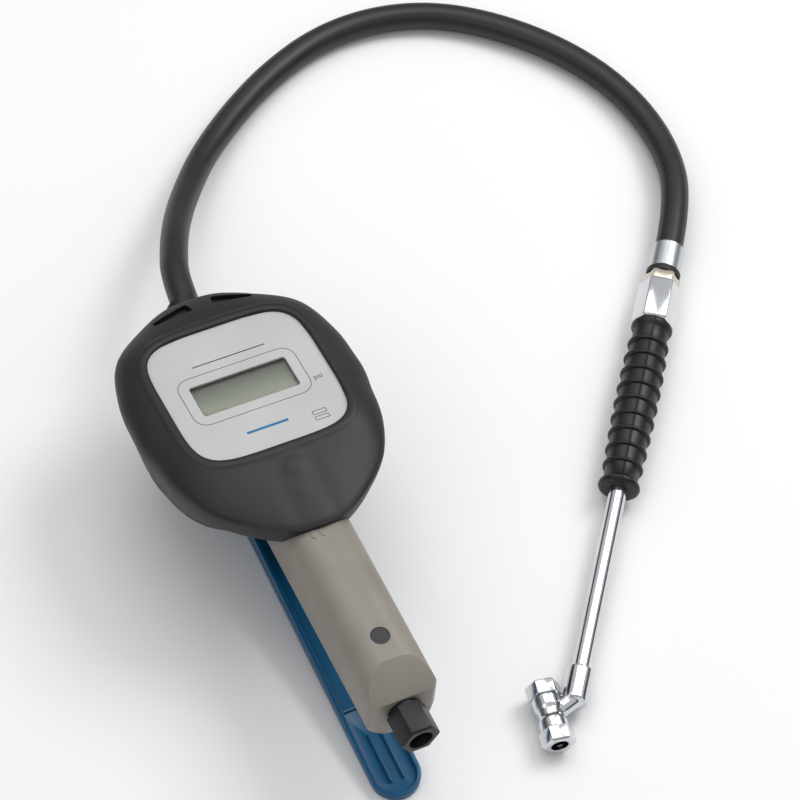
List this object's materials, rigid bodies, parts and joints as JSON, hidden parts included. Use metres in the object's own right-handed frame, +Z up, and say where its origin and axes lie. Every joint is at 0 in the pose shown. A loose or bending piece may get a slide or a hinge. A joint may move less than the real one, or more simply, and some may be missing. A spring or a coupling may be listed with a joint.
{
  "type": "tyre inflator with gauge",
  "caption": "Hand-held tyre inflator: rubber-booted digital gauge on a grip handle with squeeze lever, threaded air inlet, hose and twin push-on valve connector.",
  "frame": {"origin": "on the surface that the gun lies on, under the middle of its box (hose and connector left out)", "axes": "+Y along the gun from the threaded inlet to the gauge's nose, +Z up out of the table, +X to the reader's right when the gauge is read from the handle end"},
  "size_m": [0.3471, 0.4404, 0.0942],
  "materials": {
    "boot_rubber": "matt moulded",
    "facia_film": "satin printed film",
    "lens_clear": "polished",
    "case_abs": "moulded",
    "seal_rubber": "matt",
    "screw_steel": "zinc plated",
    "lcd_glass": "glass with polariser",
    "elastomer": "matt",
    "board_laminate": "solder mask",
    "chip_epoxy": "moulded",
    "sensor_steel": "turned",
    "cell_jacket": "printed film",
    "contact_nickel": "nickel plated",
    "valve_alloy": "machined",
    "valve_brass": "turned",
    "spring_steel": "drawn wire",
    "bracket_nylon": "glass filled, moulded",
    "handle_abs": "fine moulded texture",
    "plug_plastic": "moulded",
    "inlet_black": "black plated steel",
    "filter_bronze": "sintered",
    "lever_blue": "glossy moulded",
    "pin_steel": "ground",
    "ferrule_steel": "crimped, bright",
    "hose_rubber": "smooth extruded",
    "nickel_plate": "nickel plated",
    "chrome_plate": "bright chrome",
    "grip_rubber": "matt moulded"
  },
  "bodies": {
    "gun": {"rubber_boot": "boot_rubber", "facia_panel": "facia_film", "display_lens": "lens_clear", "front_case": "case_abs", "case_seal": "seal_rubber", "rear_case": "case_abs", "case_screws": "screw_steel", "lcd_module": "lcd_glass", "lcd_holder": "case_abs", "elastomer_connectors": "elastomer", "circuit_board": "board_laminate", "board_screws": "screw_steel", "board_chips": "chip_epoxy", "pressure_sensor": "sensor_steel", "sensor_seal": "seal_rubber", "batteries": "cell_jacket", "battery_contacts": "contact_nickel", "battery_cover": "case_abs", "battery_cover_screws": "screw_steel", "valve_body": "valve_alloy", "inlet_valve_spring": "spring_steel", "inlet_valve_cap": "valve_brass", "exhaust_valve_spring": "spring_steel", "exhaust_valve_cap": "valve_brass", "lever_bracket": "bracket_nylon", "bracket_screws": "screw_steel", "upper_handle_shell": "handle_abs", "lower_handle_shell": "handle_abs", "shell_screws": "screw_steel", "handle_tube": "valve_alloy", "tube_screw": "screw_steel", "handle_plug": "plug_plastic", "inlet_adaptor": "inlet_black", "inlet_filter": "filter_bronze", "lever_pivot_pin": "pin_steel", "pivot_clip": "spring_steel", "outlet_fitting": "valve_brass", "outlet_ferrule": "ferrule_steel", "hose": "hose_rubber", "connector_ferrule": "ferrule_steel", "sealing_washer": "seal_rubber", "hose_tail_nut": "nickel_plate", "connector_hex": "chrome_plate", "stem_tube": "chrome_plate", "grip_sleeve": "grip_rubber", "twin_head": "chrome_plate", "front_cap": "chrome_plate", "rear_cap": "chrome_plate", "front_seal": "seal_rubber", "rear_seal": "seal_rubber"},
    "lever": {"trigger_lever": "lever_blue"},
    "inlet_stem": {"inlet_valve_stem": "valve_brass", "inlet_valve_seal": "seal_rubber"},
    "exhaust_stem": {"exhaust_valve_stem": "valve_brass", "exhaust_valve_seal": "seal_rubber"},
    "front_pin": {"front_depressor_pin": "valve_brass"},
    "rear_pin": {"rear_depressor_pin": "valve_brass"}
  },
  "joints": [
    {"name": "lever_hinge", "type": "hinge", "parent": "gun", "child": "lever", "pos_m": [0, 0.082, 0.02313], "axis": [-1, 0, 0], "range_deg": [0, 9], "stiffness_Nm_per_rad": 2, "springref_deg": -34.38},
    {"name": "inlet_valve_slide", "type": "slide", "parent": "gun", "child": "inlet_stem", "axis": [0, 0, 1], "range_m": [0, 0.0048], "deforming": ["inlet_valve_spring"]},
    {"name": "exhaust_valve_slide", "type": "slide", "parent": "gun", "child": "exhaust_stem", "axis": [0, 0, 1], "range_m": [0, 0.0026], "deforming": ["exhaust_valve_spring"]},
    {"name": "front_pin_slide", "type": "slide", "parent": "gun", "child": "front_pin", "axis": [0.185, 0.9819, 0.04], "range_m": [0, 0.0018], "stiffness_N_per_m": 400, "springref_m": -0.001},
    {"name": "rear_pin_slide", "type": "slide", "parent": "gun", "child": "rear_pin", "axis": [-0.185, -0.9819, -0.04], "range_m": [0, 0.0018], "stiffness_N_per_m": 400, "springref_m": -0.001}
  ],
  "couplings": [
    {"joint": "inlet_valve_slide", "follows": "lever_hinge", "m_per_rad": 0.03},
    {"joint": "exhaust_valve_slide", "follows": "lever_hinge", "m_per_rad": 0.016}
  ]
}
